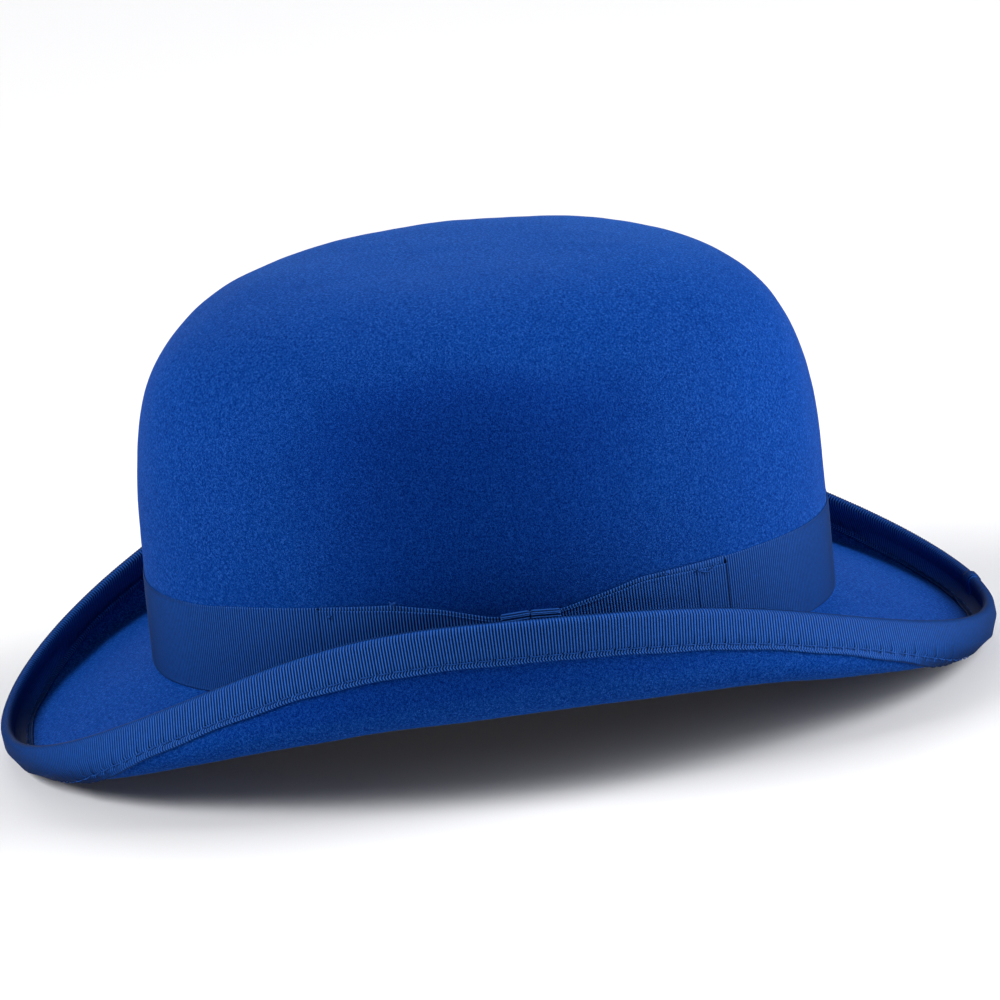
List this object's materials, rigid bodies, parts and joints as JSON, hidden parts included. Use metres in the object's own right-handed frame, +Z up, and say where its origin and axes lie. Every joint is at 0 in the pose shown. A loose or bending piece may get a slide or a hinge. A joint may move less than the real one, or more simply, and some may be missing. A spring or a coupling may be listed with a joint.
{
  "type": "bowler hat",
  "caption": "Stiff felt hat with a round domed crown and a short brim curled up all round, ribbon band with a side bow, bound rim, leather sweatband and satin lining.",
  "frame": {"origin": "middle of the hat's outline in plan, on the surface that the underside of the brim stands on", "axes": "+Z up through the crown, -Y towards the front of the hat, +X towards the wearer's left, where the bow is"},
  "size_m": [0.2228, 0.3076, 0.1412],
  "materials": {
    "felt": "matte",
    "grosgrain": "satin",
    "thread": "matte",
    "leather": "satin",
    "reed": "matte",
    "tape": "matte",
    "pale_thread": "matte",
    "trim_ribbon": "satin",
    "ticket": "matte",
    "satin": "gloss"
  },
  "bodies": {
    "root": {"felt_body": "felt", "hat_band": "grosgrain", "brim_binding": "grosgrain", "binding_stitches": "thread", "bow_loops": "grosgrain", "bow_knot": "grosgrain", "bow_tacks": "thread", "sweatband": "leather", "sweatband_reed": "reed", "sweatband_welt": "tape", "sweatband_stitches": "pale_thread", "sweatband_seam_stitches": "pale_thread", "sweatband_bow": "trim_ribbon", "sweatband_bow_knot": "trim_ribbon", "size_ticket": "ticket", "lining_side": "satin", "lining_tip": "satin"}
  },
  "joints": []
}
